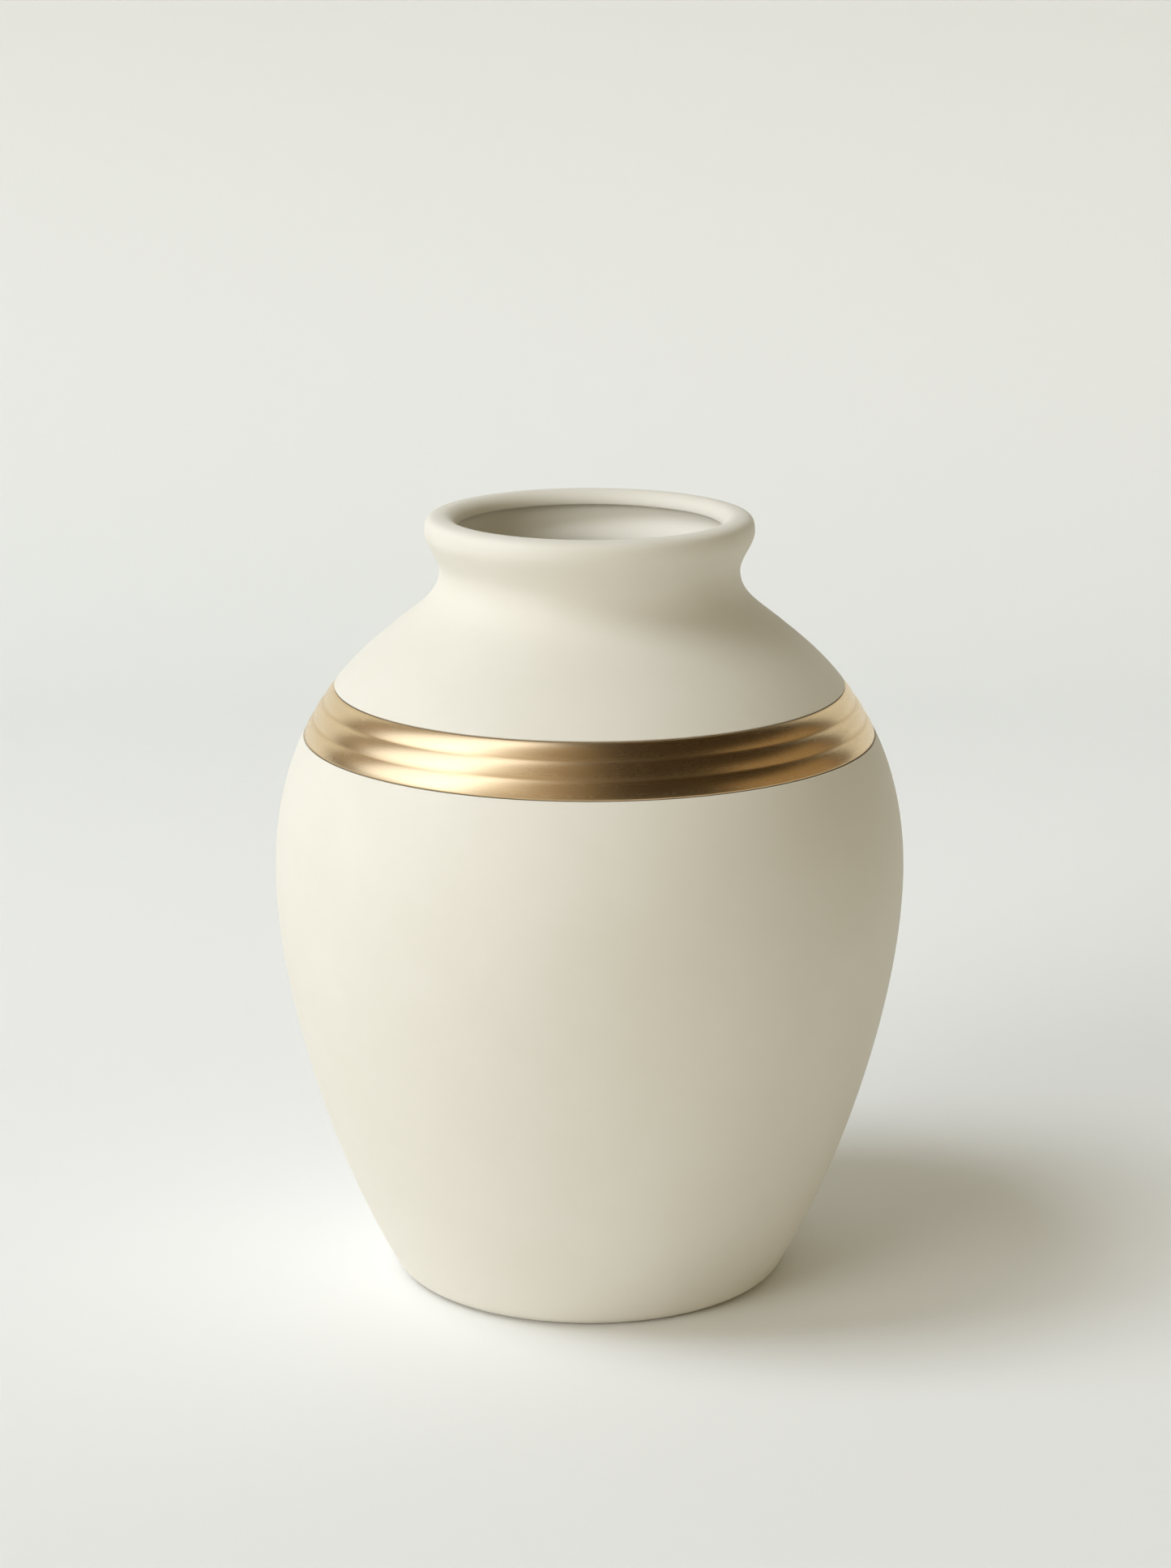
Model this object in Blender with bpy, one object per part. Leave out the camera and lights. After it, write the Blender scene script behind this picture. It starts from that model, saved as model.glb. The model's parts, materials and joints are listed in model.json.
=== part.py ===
"""Porcelain vase with a reeded gold band let into its shoulder.

Metres, +Z up. The origin is the middle of the foot, on the surface that the vase stands on.
The band's seam is at the back, towards +Y.
"""

import math

import bmesh
import bpy
from mathutils import Vector
from mathutils.geometry import interpolate_bezier

# Outer shape. A height is measured up from the foot, and a drop down from the crest of the lip.
VASE_HEIGHT = 0.2800
FOOT_RADIUS = 0.0652  # of the flat that the vase stands on
FOOT_EDGE = 0.0081  # radius of the rounded edge between the foot and the wall
FOOT_LEAN = math.radians(29.5)  # how far the wall leans out where it leaves the foot
BELLY_RADIUS = 0.11365
BELLY_HEIGHT = 0.1506
SHOULDER_RADIUS = 0.0715  # where the shoulder stops bulging and starts to curve up into the neck
SHOULDER_DROP = 0.0416
SHOULDER_LEAN = math.radians(49.7)
NECK_RADIUS = 0.0536
NECK_DROP = 0.0200

# Rolled lip, from the mouth outwards
MOUTH_RADIUS = 0.0474
LIP_INNER_ROUND = 0.0053  # from the mouth out to the crest
LIP_OUTER_ROUND = 0.0060  # from the crest out to the widest part of the roll
LIP_GIRTH_DROP = 0.0058
CREASE_DROP = 0.0050  # to the edge where the roll ends inside the mouth
CREASE_EDGE = 0.0003  # radius of that edge
UNDERCUT = 0.0026  # how far the wall under the crease stands behind it
THROAT_RADIUS = 0.0450  # the narrowest place inside, level with the waist of the neck

# Wall, floor and foot ring
WALL = 0.0050
FLOOR_THICKNESS = 0.0070
FLOOR_CORNER = 0.0100  # height at which the wall starts to turn into the floor
FOOT_RING_WIDTH = 0.0070
RECESS_DEPTH = 0.0025
RECESS_SLOPE = 0.0050  # width of the slope between the foot ring and the recess

# Band in its rebate
BAND_DROP = 0.0280  # along the outline, from the top of the shoulder's bulge down to the rebate
BAND_WIDTH = 0.0207
BAND_THICKNESS = 0.0013  # at the crest of a reed
REED_COUNT = 3
REED_DEPTH = 0.0004  # of the valleys between the reeds
SEAM_GAP = 0.0004  # between the ends of the strip, at the back
BOND_THICKNESS = 0.0003
BOND_MARGIN = 0.0010  # how far the bond stays behind each edge of the band
FIT_GAP = 0.0003  # clearance round the band and on both faces of the bond

# Fullness of each curve: the reach of its handle as a share of the straight line between its ends
LOWER_WALL_FULLNESS = (0.285, 0.296)
SHOULDER_FULLNESS = (0.581, 0.125)
NECK_ROOT_FULLNESS = (0.405, 0.339)
COVE_FULLNESS = (0.351, 0.281)
LIP_FULLNESS = (0.520, 0.567)
THROAT_FULLNESS = (0.400, 0.400)
NECK_INSIDE_FULLNESS = (0.400, 0.400)
RECESS_FULLNESS = (0.450, 0.450)

# How finely the curves and the turning are divided
TURN_STEPS = 60
TRACK_STEPS = 80
SHARP_ANGLE = math.radians(35)
POLE_MERGE = 1e-6

UP = Vector((0, 1))
OUT = Vector((1, 0))

PORCELAIN = {"name": "matte_porcelain", "colour": (0.78, 0.75, 0.67, 1), "roughness": 0.55, "metallic": 0.0}
GOLD = {"name": "satin_gold", "colour": (0.83, 0.61, 0.32, 1), "roughness": 0.28, "metallic": 1.0}
BOND = {"name": "amber_bond", "colour": (0.42, 0.33, 0.20, 1), "roughness": 0.45, "metallic": 0.0}


# ---------------------------------------------------------------- outline tools (radius, height)


def heading(lean):
    """Direction that climbs while leaning out by this angle from the upright."""
    return Vector((math.sin(lean), math.cos(lean)))


def sweep(start, start_way, end, end_way, fullness, steps):
    """Smooth curve that leaves start along start_way and arrives at end along end_way."""
    span = (end - start).length
    start_handle = start + start_way * span * fullness[0]
    end_handle = end - end_way * span * fullness[1]
    return interpolate_bezier(start, start_handle, end_handle, end, steps + 1)


def corner_arc(start, corner, end, steps):
    """Round arc that touches both legs of a corner at their far ends."""
    turn = (corner - start).angle(end - corner)
    share = 4 / 3 * math.tan(turn / 4) / math.tan(turn / 2)
    return interpolate_bezier(start, start.lerp(corner, share), end.lerp(corner, share), end, steps + 1)


class Track:
    """The outside of the wall as close-set points, read by the distance along it."""

    def __init__(self, points):
        self.points = points
        self.distances = [0.0]
        for before, after in zip(points, points[1:]):
            self.distances.append(self.distances[-1] + (after - before).length)

    def place(self, distance, depth=0.0):
        """Point at a distance along the track, set in behind the surface by depth."""
        last = len(self.points) - 2
        index = 0
        while index < last and self.distances[index + 1] < distance:
            index += 1
        step = self.distances[index + 1] - self.distances[index]
        share = (distance - self.distances[index]) / step
        way = self.way(index).lerp(self.way(index + 1), share).normalized()
        inward = Vector((-way.y, way.x))
        return self.points[index].lerp(self.points[index + 1], share) + inward * depth

    def way(self, index):
        """Direction of travel at one of the track's own points."""
        before = self.points[max(index - 1, 0)]
        after = self.points[min(index + 1, len(self.points) - 1)]
        return (after - before).normalized()

    def stretch(self, first, last, steps, depth=0.0):
        """Evenly spaced points from one distance to another, both ends included."""
        return [self.place(first + (last - first) * i / steps, depth) for i in range(steps + 1)]


def joined(*runs):
    """One list of points from runs that may share their end points."""
    points = []
    for run in runs:
        for point in run:
            if not points or (point - points[-1]).length > POLE_MERGE:
                points.append(point)
    return points


# ---------------------------------------------------------------- stations shared by the pieces

edge_leg = FOOT_EDGE * math.tan((math.pi / 2 - FOOT_LEAN) / 2)
foot_flat_end = Vector((FOOT_RADIUS, 0))
foot_corner = foot_flat_end + OUT * edge_leg
wall_start = foot_corner + heading(FOOT_LEAN) * edge_leg
belly = Vector((BELLY_RADIUS, BELLY_HEIGHT))
shoulder = Vector((SHOULDER_RADIUS, VASE_HEIGHT - SHOULDER_DROP))
waist = Vector((NECK_RADIUS, VASE_HEIGHT - NECK_DROP))

lower_wall = sweep(wall_start, heading(FOOT_LEAN), belly, UP, LOWER_WALL_FULLNESS, TRACK_STEPS)
bulge = sweep(belly, UP, shoulder, heading(-SHOULDER_LEAN), SHOULDER_FULLNESS, TRACK_STEPS)
neck_root = sweep(shoulder, heading(-SHOULDER_LEAN), waist, UP, NECK_ROOT_FULLNESS, TRACK_STEPS)

wall = Track(joined(lower_wall, bulge, neck_root))
belly_mark = wall.distances[TRACK_STEPS]
shoulder_mark = wall.distances[2 * TRACK_STEPS]
waist_mark = wall.distances[3 * TRACK_STEPS]
rebate_top_mark = shoulder_mark - BAND_DROP
rebate_bottom_mark = rebate_top_mark - BAND_WIDTH - 2 * FIT_GAP
rebate_depth = BAND_THICKNESS + BOND_THICKNESS + 2 * FIT_GAP


# ---------------------------------------------------------------- outlines of the pieces


def outer_wall():
    """Up the outside, from the foot ring to the waist of the neck, with the rebate cut in."""
    return joined(
        corner_arc(foot_flat_end, foot_corner, wall_start, 3),
        wall.stretch(0, belly_mark, 9),
        wall.stretch(belly_mark, rebate_bottom_mark, 5),
        wall.stretch(rebate_bottom_mark, rebate_top_mark, 4, rebate_depth),
        wall.stretch(rebate_top_mark, shoulder_mark, 3),
        wall.stretch(shoulder_mark, waist_mark, 5),
    )


def rolled_lip():
    """Over the lip, from the waist of the neck to the foot of the undercut inside the mouth."""
    crest = Vector((MOUTH_RADIUS + LIP_INNER_ROUND, VASE_HEIGHT))
    girth = Vector((crest.x + LIP_OUTER_ROUND, VASE_HEIGHT - LIP_GIRTH_DROP))
    crease = Vector((MOUTH_RADIUS, VASE_HEIGHT - CREASE_DROP))
    under_edge = crease + OUT * CREASE_EDGE
    under_corner = crease + OUT * UNDERCUT
    under_foot = under_corner - UP * (under_corner - under_edge).length
    return joined(
        sweep(waist, UP, girth, UP, COVE_FULLNESS, 5),
        sweep(girth, UP, crest, -OUT, LIP_FULLNESS, 5),
        corner_arc(crest, Vector((crease.x, crest.y)), crease + UP * CREASE_EDGE, 5),
        corner_arc(crease + UP * CREASE_EDGE, crease, under_edge, 2),
        corner_arc(under_edge, under_corner, under_foot, 3),
    )


def inner_wall(under_foot):
    """Down the inside, from the foot of the undercut to the middle of the floor."""
    floor_height = RECESS_DEPTH + FLOOR_THICKNESS
    turn_mark = 0.0
    while wall.place(turn_mark, WALL).y < floor_height + FLOOR_CORNER:
        turn_mark += WALL / 10
    turn = wall.place(turn_mark, WALL)
    down = (turn - wall.place(turn_mark + WALL, WALL)).normalized()
    corner = turn + down * ((turn.y - floor_height) / -down.y)
    floor_edge = corner - OUT * (corner - turn).length
    throat = Vector((THROAT_RADIUS, waist.y))
    neck_foot = wall.place(shoulder_mark, WALL)
    return joined(
        sweep(under_foot, -UP, throat, -UP, THROAT_FULLNESS, 4),
        sweep(throat, -UP, neck_foot, -heading(-SHOULDER_LEAN), NECK_INSIDE_FULLNESS, 6),
        wall.stretch(shoulder_mark, belly_mark, 9, WALL),
        wall.stretch(belly_mark, turn_mark, 8, WALL),
        corner_arc(turn, corner, floor_edge, 4),
        [Vector((0, floor_height))],
    )


def underside():
    """Out from the middle of the recess under the foot to the foot ring."""
    ring_inside = FOOT_RADIUS - FOOT_RING_WIDTH
    recess_edge = Vector((ring_inside - RECESS_SLOPE, RECESS_DEPTH))
    ring_edge = Vector((ring_inside, 0))
    slope = sweep(recess_edge, OUT, ring_edge, OUT, RECESS_FULLNESS, 4)
    return joined([Vector((0, RECESS_DEPTH))], slope, [foot_flat_end])


def body_outline():
    lip = rolled_lip()
    return joined(underside(), outer_wall(), lip, inner_wall(lip[-1]))


def band_outline():
    """The strip's section: reeds on its face, and a plain back that follows the shoulder."""
    bottom = rebate_bottom_mark + FIT_GAP
    reed_width = BAND_WIDTH / REED_COUNT
    reed_steps = 4
    face = []
    for i in range(REED_COUNT * reed_steps + 1):
        across = i / reed_steps % 1
        depth = REED_DEPTH * (2 * across - 1) ** 2
        face.append(wall.place(bottom + i / reed_steps * reed_width, depth))
    back = wall.stretch(bottom + BAND_WIDTH, bottom, 4, BAND_THICKNESS)
    return joined(face, back)


def bond_outline():
    """The film between the back of the band and the floor of the rebate."""
    bottom = rebate_bottom_mark + FIT_GAP + BOND_MARGIN
    top = rebate_top_mark - FIT_GAP - BOND_MARGIN
    face_depth = BAND_THICKNESS + FIT_GAP
    face = wall.stretch(bottom, top, 3, face_depth)
    back = wall.stretch(top, bottom, 3, face_depth + BOND_THICKNESS)
    return joined(face, back)


# ---------------------------------------------------------------- solids


def make_material(finish):
    material = bpy.data.materials.new(finish["name"])
    material.use_nodes = True
    material.diffuse_color = finish["colour"]
    shader = material.node_tree.nodes["Principled BSDF"]
    shader.inputs["Base Color"].default_value = finish["colour"]
    shader.inputs["Roughness"].default_value = finish["roughness"]
    shader.inputs["Metallic"].default_value = finish["metallic"]
    return material


def turned_piece(name, outline, finish, closed_outline, gap_angle=0.0):
    """Turns an outline round the axis, from the back and round to it again, less any gap there."""
    bm = bmesh.new()
    facing = math.pi / 2 + gap_angle / 2
    side = Vector((math.cos(facing), math.sin(facing), 0))
    verts = [bm.verts.new(side * point.x + Vector((0, 0, point.y))) for point in outline]
    edges = [bm.edges.new(pair) for pair in zip(verts, verts[1:])]
    if closed_outline:
        edges.append(bm.edges.new((verts[-1], verts[0])))
    bmesh.ops.spin(
        bm,
        geom=verts + edges,
        cent=(0, 0, 0),
        axis=(0, 0, 1),
        angle=2 * math.pi - gap_angle,
        steps=TURN_STEPS,
        use_merge=not gap_angle,
    )
    bmesh.ops.remove_doubles(bm, verts=bm.verts, dist=POLE_MERGE)
    bmesh.ops.holes_fill(bm, edges=bm.edges)
    bmesh.ops.recalc_face_normals(bm, faces=bm.faces)
    mesh = bpy.data.meshes.new(name)
    bm.to_mesh(mesh)
    bm.free()
    mesh.materials.append(make_material(finish))
    mesh.shade_smooth()
    mesh.set_sharp_from_angle(angle=SHARP_ANGLE)
    piece = bpy.data.objects.new(name, mesh)
    bpy.context.collection.objects.link(piece)
    return piece


for old in list(bpy.data.objects):
    bpy.data.objects.remove(old, do_unlink=True)

seam_radius = wall.place((rebate_bottom_mark + rebate_top_mark) / 2).x
body = turned_piece("porcelain_body", body_outline(), PORCELAIN, closed_outline=False)
band = turned_piece("gold_band", band_outline(), GOLD, closed_outline=True, gap_angle=SEAM_GAP / seam_radius)
bond = turned_piece("band_bond", bond_outline(), BOND, closed_outline=True)
for inset_piece in (band, bond):
    inset_piece.parent = body
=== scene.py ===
import json
import math

import bpy
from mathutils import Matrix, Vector
from mathutils.geometry import interpolate_bezier

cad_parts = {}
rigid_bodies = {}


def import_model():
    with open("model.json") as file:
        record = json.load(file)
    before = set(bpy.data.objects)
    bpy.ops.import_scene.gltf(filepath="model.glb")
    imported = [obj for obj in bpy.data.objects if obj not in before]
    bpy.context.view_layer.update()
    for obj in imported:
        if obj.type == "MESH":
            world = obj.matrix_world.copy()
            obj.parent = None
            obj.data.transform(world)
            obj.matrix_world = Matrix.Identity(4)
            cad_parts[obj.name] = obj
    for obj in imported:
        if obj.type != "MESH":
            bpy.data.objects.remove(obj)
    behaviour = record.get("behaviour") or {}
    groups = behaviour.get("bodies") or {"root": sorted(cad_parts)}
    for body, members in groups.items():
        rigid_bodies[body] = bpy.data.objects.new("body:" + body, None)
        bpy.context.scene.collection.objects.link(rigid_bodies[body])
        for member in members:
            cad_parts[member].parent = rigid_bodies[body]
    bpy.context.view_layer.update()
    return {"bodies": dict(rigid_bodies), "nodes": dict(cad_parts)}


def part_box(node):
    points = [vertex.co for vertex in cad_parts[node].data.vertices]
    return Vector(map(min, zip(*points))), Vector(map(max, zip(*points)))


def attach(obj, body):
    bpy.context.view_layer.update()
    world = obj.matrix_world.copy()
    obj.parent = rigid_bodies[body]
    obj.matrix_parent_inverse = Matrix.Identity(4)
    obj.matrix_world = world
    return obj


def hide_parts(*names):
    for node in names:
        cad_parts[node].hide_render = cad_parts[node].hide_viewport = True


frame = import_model()
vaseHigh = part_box("porcelain_body")[1]
rootBody = sorted(frame["bodies"])[0]
print("frame loaded, body", rootBody, "with", ", ".join(sorted(frame["nodes"])))

# Metres throughout. A drop is measured down from the crest of the lip.
vaseShape = {
    "height": vaseHigh.z,
    "footRadius": 0.0652,  # of the flat it stands on
    "footEdge": 0.0081,
    "footLean": math.radians(29.5),
    "bellyRadius": vaseHigh.x,
    "bellyHeight": 0.1506,
    "shoulderRadius": 0.0715,  # where the bulge turns into the root of the neck
    "shoulderDrop": 0.0416,
    "shoulderLean": math.radians(49.7),
    "neckRadius": 0.0536,
    "neckDrop": 0.0200,
    "mouthRadius": 0.0474,
    "lipInnerRound": 0.0053,
    "lipOuterRound": 0.0060,
    "lipGirthDrop": 0.0058,
    "creaseDrop": 0.0050,
    "creaseEdge": 0.0003,
    "undercut": 0.0026,
    "throatRadius": 0.0450,  # the narrowest place inside, level with the waist
    "wall": 0.0050,
    "floorThickness": 0.0070,
    "floorCorner": 0.0100,
    "footRingWidth": 0.0070,
    "recessDepth": 0.0025,
    "recessSlope": 0.0050,
    "rebateEdge": 0.0003,  # the softened edges where the rebate opens
    "rebateMargin": 0.0008,  # kept free of the plain wall's points beside the rebate
    "rebateInset": 0.0004,  # the same, on the rebate's floor
}
fullness = {
    "lowerWall": (0.285, 0.296),
    "shoulder": (0.581, 0.125),
    "neckRoot": (0.405, 0.339),
    "cove": (0.351, 0.281),
    "lip": (0.520, 0.567),
    "throat": (0.400, 0.400),
    "neckInside": (0.400, 0.400),
    "recess": (0.450, 0.450),
}
bandShape = {
    "drop": 0.0280,  # along the wall, from the top of the bulge down to the rebate
    "width": 0.0207,
    "thickness": 0.0013,
    "reedCount": 3,
    "reedDepth": 0.0004,
    "edge": 0.00018,
    "seamGap": 0.0004,
    "bondThickness": 0.0003,
    "fitGap": 0.0003,
}
bodySteps = {
    "recess": 10,
    "footEdge": 12,
    "lowerWall": 44,
    "upperWall": 22,
    "rebateEdge": 6,
    "rebateFloor": 10,
    "shoulder": 14,
    "neckRoot": 20,
    "cove": 14,
    "lip": 16,
    "innerLip": 14,
    "creaseEdge": 5,
    "undercut": 8,
    "throat": 12,
    "neckInside": 16,
    "shoulderInside": 22,
    "wallInside": 26,
    "floorCorner": 10,
}
bandSteps = {"reed": 18, "back": 10, "edge": 4}
turnSteps = 192
lineSteps = 160  # along each stretch of the wall that the marks are read from
sameSpot = 1e-6  # points closer than this are one point
creaseAngle = math.radians(50)  # edges that turn more than this stay sharp
backAngle = math.pi / 2  # seams lie at the back
up = Vector((0, 1))
out = Vector((1, 0))


# outline helpers: every point is (radius, height)

def heading(lean):
    return Vector((math.sin(lean), math.cos(lean)))


def curveRun(start, startWay, end, endWay, reach, steps):
    # leaves start along startWay, arrives at end along endWay
    span = (end - start).length
    leaving = start + startWay * span * reach[0]
    arriving = end - endWay * span * reach[1]
    return interpolate_bezier(start, leaving, arriving, end, steps + 1)


def roundCorner(start, corner, end, steps):
    # the share puts the handles where a circle's arc has them
    turn = (corner - start).angle(end - corner)
    share = 4 / 3 * math.tan(turn / 4) / math.tan(turn / 2)
    return interpolate_bezier(start, start.lerp(corner, share), end.lerp(corner, share), end, steps + 1)


def join(*runs):
    points = []
    for run in runs:
        for point in run:
            if not points or (point - points[-1]).length > sameSpot:
                points.append(point)
    return points


class WallLine:
    # the outside of the wall, read by the distance along it
    def __init__(self, points):
        self.points = points
        self.marks = [0.0]
        for before, after in zip(points, points[1:]):
            self.marks.append(self.marks[-1] + (after - before).length)

    def way(self, index):
        before = self.points[max(index - 1, 0)]
        after = self.points[min(index + 1, len(self.points) - 1)]
        return (after - before).normalized()

    def at(self, mark, depth=0.0):
        index = 0
        while index < len(self.points) - 2 and self.marks[index + 1] < mark:
            index += 1
        share = (mark - self.marks[index]) / (self.marks[index + 1] - self.marks[index])
        way = self.way(index).lerp(self.way(index + 1), share).normalized()
        return self.points[index].lerp(self.points[index + 1], share) + Vector((-way.y, way.x)) * depth

    def run(self, first, last, steps, depth=0.0):
        return [self.at(first + (last - first) * i / steps, depth) for i in range(steps + 1)]


# stations of the wall

shape = vaseShape
edgeLeg = shape["footEdge"] * math.tan((math.pi / 2 - shape["footLean"]) / 2)
footFlatEnd = Vector((shape["footRadius"], 0))
footCorner = footFlatEnd + out * edgeLeg
wallStart = footCorner + heading(shape["footLean"]) * edgeLeg
belly = Vector((shape["bellyRadius"], shape["bellyHeight"]))
shoulder = Vector((shape["shoulderRadius"], shape["height"] - shape["shoulderDrop"]))
waist = Vector((shape["neckRadius"], shape["height"] - shape["neckDrop"]))
wallLine = WallLine(join(
    curveRun(wallStart, heading(shape["footLean"]), belly, up, fullness["lowerWall"], lineSteps),
    curveRun(belly, up, shoulder, heading(-shape["shoulderLean"]), fullness["shoulder"], lineSteps),
    curveRun(shoulder, heading(-shape["shoulderLean"]), waist, up, fullness["neckRoot"], lineSteps),
))
bellyMark = wallLine.marks[lineSteps]
shoulderMark = wallLine.marks[2 * lineSteps]
waistMark = wallLine.marks[3 * lineSteps]
rebateTop = shoulderMark - bandShape["drop"]
rebateBottom = rebateTop - bandShape["width"] - 2 * bandShape["fitGap"]
rebateDepth = bandShape["thickness"] + bandShape["bondThickness"] + 2 * bandShape["fitGap"]


def rebateLip(mark, side):
    # from the open wall over the softened edge and down the rebate's side; side is +1 at the top edge
    edge = shape["rebateEdge"]
    rounded = roundCorner(
        wallLine.at(mark + side * edge), wallLine.at(mark), wallLine.at(mark, edge), bodySteps["rebateEdge"]
    )
    return join(
        [wallLine.at(mark + side * edge * 2)],
        rounded,
        [wallLine.at(mark, edge * 2), wallLine.at(mark, rebateDepth)],
    )


def bodyOutline():
    # from the middle of the recess under the foot, up the outside, over the lip and down to the inner floor
    steps = bodySteps
    ringInside = shape["footRadius"] - shape["footRingWidth"]
    recessEdge = Vector((ringInside - shape["recessSlope"], shape["recessDepth"]))
    under = join(
        [Vector((recessEdge.x * share, recessEdge.y)) for share in (0, 0.5, 0.95)],
        curveRun(recessEdge, out, Vector((ringInside, 0)), out, fullness["recess"], steps["recess"]),
        [footFlatEnd],
    )
    outside = join(
        roundCorner(footFlatEnd, footCorner, wallStart, steps["footEdge"]),
        wallLine.run(0, bellyMark, steps["lowerWall"]),
        wallLine.run(bellyMark, rebateBottom - shape["rebateMargin"], steps["upperWall"]),
        rebateLip(rebateBottom, -1),
        wallLine.run(
            rebateBottom + shape["rebateInset"], rebateTop - shape["rebateInset"],
            steps["rebateFloor"], rebateDepth,
        ),
        list(reversed(rebateLip(rebateTop, 1))),
        wallLine.run(rebateTop + shape["rebateMargin"], shoulderMark, steps["shoulder"]),
        wallLine.run(shoulderMark, waistMark, steps["neckRoot"]),
    )
    crest = Vector((shape["mouthRadius"] + shape["lipInnerRound"], shape["height"]))
    girth = Vector((crest.x + shape["lipOuterRound"], shape["height"] - shape["lipGirthDrop"]))
    crease = Vector((shape["mouthRadius"], shape["height"] - shape["creaseDrop"]))
    underEdge = crease + out * shape["creaseEdge"]
    underCorner = crease + out * shape["undercut"]
    underFoot = underCorner - up * (underCorner - underEdge).length
    overCrease = crease + up * shape["creaseEdge"]
    lip = join(
        curveRun(waist, up, girth, up, fullness["cove"], steps["cove"]),
        curveRun(girth, up, crest, -out, fullness["lip"], steps["lip"]),
        roundCorner(crest, Vector((crease.x, crest.y)), overCrease, steps["innerLip"]),
        roundCorner(overCrease, crease, underEdge, steps["creaseEdge"]),
        roundCorner(underEdge, underCorner, underFoot, steps["undercut"]),
    )
    # the inner wall turns into the floor where it comes down to the corner's height
    floorHeight = shape["recessDepth"] + shape["floorThickness"]
    turnMark = 0.0
    while wallLine.at(turnMark, shape["wall"]).y < floorHeight + shape["floorCorner"]:
        turnMark += shape["wall"] / 10
    turn = wallLine.at(turnMark, shape["wall"])
    down = (turn - wallLine.at(turnMark + shape["wall"], shape["wall"])).normalized()
    corner = turn + down * ((turn.y - floorHeight) / -down.y)
    floorEdge = corner - out * (corner - turn).length
    throat = Vector((shape["throatRadius"], waist.y))
    neckFoot = wallLine.at(shoulderMark, shape["wall"])
    inside = join(
        curveRun(underFoot, -up, throat, -up, fullness["throat"], steps["throat"]),
        curveRun(
            throat, -up, neckFoot, -heading(-shape["shoulderLean"]),
            fullness["neckInside"], steps["neckInside"],
        ),
        wallLine.run(shoulderMark, bellyMark, steps["shoulderInside"], shape["wall"]),
        wallLine.run(bellyMark, turnMark, steps["wallInside"], shape["wall"]),
        roundCorner(turn, corner, floorEdge, steps["floorCorner"]),
        [floorEdge * 0.5 + Vector((0, floorHeight * 0.5)), Vector((0, floorHeight))],
    )
    return join(under, outside, lip, inside)


def bandStrip():
    # the strip's plain section and, for each point, how far across the face it is (-1 behind the face)
    bottom = rebateBottom + bandShape["fitGap"]
    top = bottom + bandShape["width"]
    edge = bandShape["edge"]
    thick = bandShape["thickness"]
    reedDepth = bandShape["reedDepth"]
    faceSteps = bandShape["reedCount"] * bandSteps["reed"]
    points = []
    across = []
    edgeShare = edge / bandShape["width"]
    for i in range(faceSteps + 1):
        share = min(max(i / faceSteps, edgeShare), 1 - edgeShare)
        points.append(wallLine.at(bottom + share * bandShape["width"]))
        across.append(share)
    upperEdge = roundCorner(
        wallLine.at(top - edge, reedDepth), wallLine.at(top, reedDepth),
        wallLine.at(top, reedDepth + edge), bandSteps["edge"],
    )
    lowerEdge = roundCorner(
        wallLine.at(bottom, reedDepth + edge), wallLine.at(bottom, reedDepth),
        wallLine.at(bottom + edge, reedDepth), bandSteps["edge"],
    )
    behind = upperEdge[1:] + [wallLine.at(top, thick - edge)]
    behind += wallLine.run(top, bottom, bandSteps["back"], thick)
    behind += [wallLine.at(bottom, thick - edge)] + lowerEdge[:-1]
    points += behind
    across += [-1.0] * len(behind)
    return points, across


# node helpers, for geometry and shader trees alike

def addNode(tree, kind, **settings):
    node = tree.nodes.new(kind)
    node.location = (180 * (len(tree.nodes) % 12), -220 * (len(tree.nodes) // 12))
    for name, value in settings.items():
        setattr(node, name, value)
    return node


def socket(sockets, name):
    return next(item for item in sockets if item.name == name and item.enabled)


def setInput(tree, node, name, value):
    target = socket(node.inputs, name) if isinstance(name, str) else node.inputs[name]
    if isinstance(value, bpy.types.NodeSocket):
        tree.links.new(value, target)
    else:
        target.default_value = value


def makeNode(tree, kind, inputs, output=0, **settings):
    node = addNode(tree, kind, **settings)
    for name, value in inputs.items():
        setInput(tree, node, name, value)
    return socket(node.outputs, output) if isinstance(output, str) else node.outputs[output]


def calc(tree, operation, *terms, clamp=False):
    return makeNode(tree, "ShaderNodeMath", dict(enumerate(terms)), operation=operation, use_clamp=clamp)


def newGroup(name, kind, inputs, outputs):
    tree = bpy.data.node_groups.new(name, kind)
    for direction, entries in (("INPUT", inputs), ("OUTPUT", outputs)):
        for label, socketKind in entries:
            tree.interface.new_socket(label, in_out=direction, socket_type=socketKind)
    return tree, addNode(tree, "NodeGroupInput").outputs, addNode(tree, "NodeGroupOutput").inputs


# geometry trees

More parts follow.
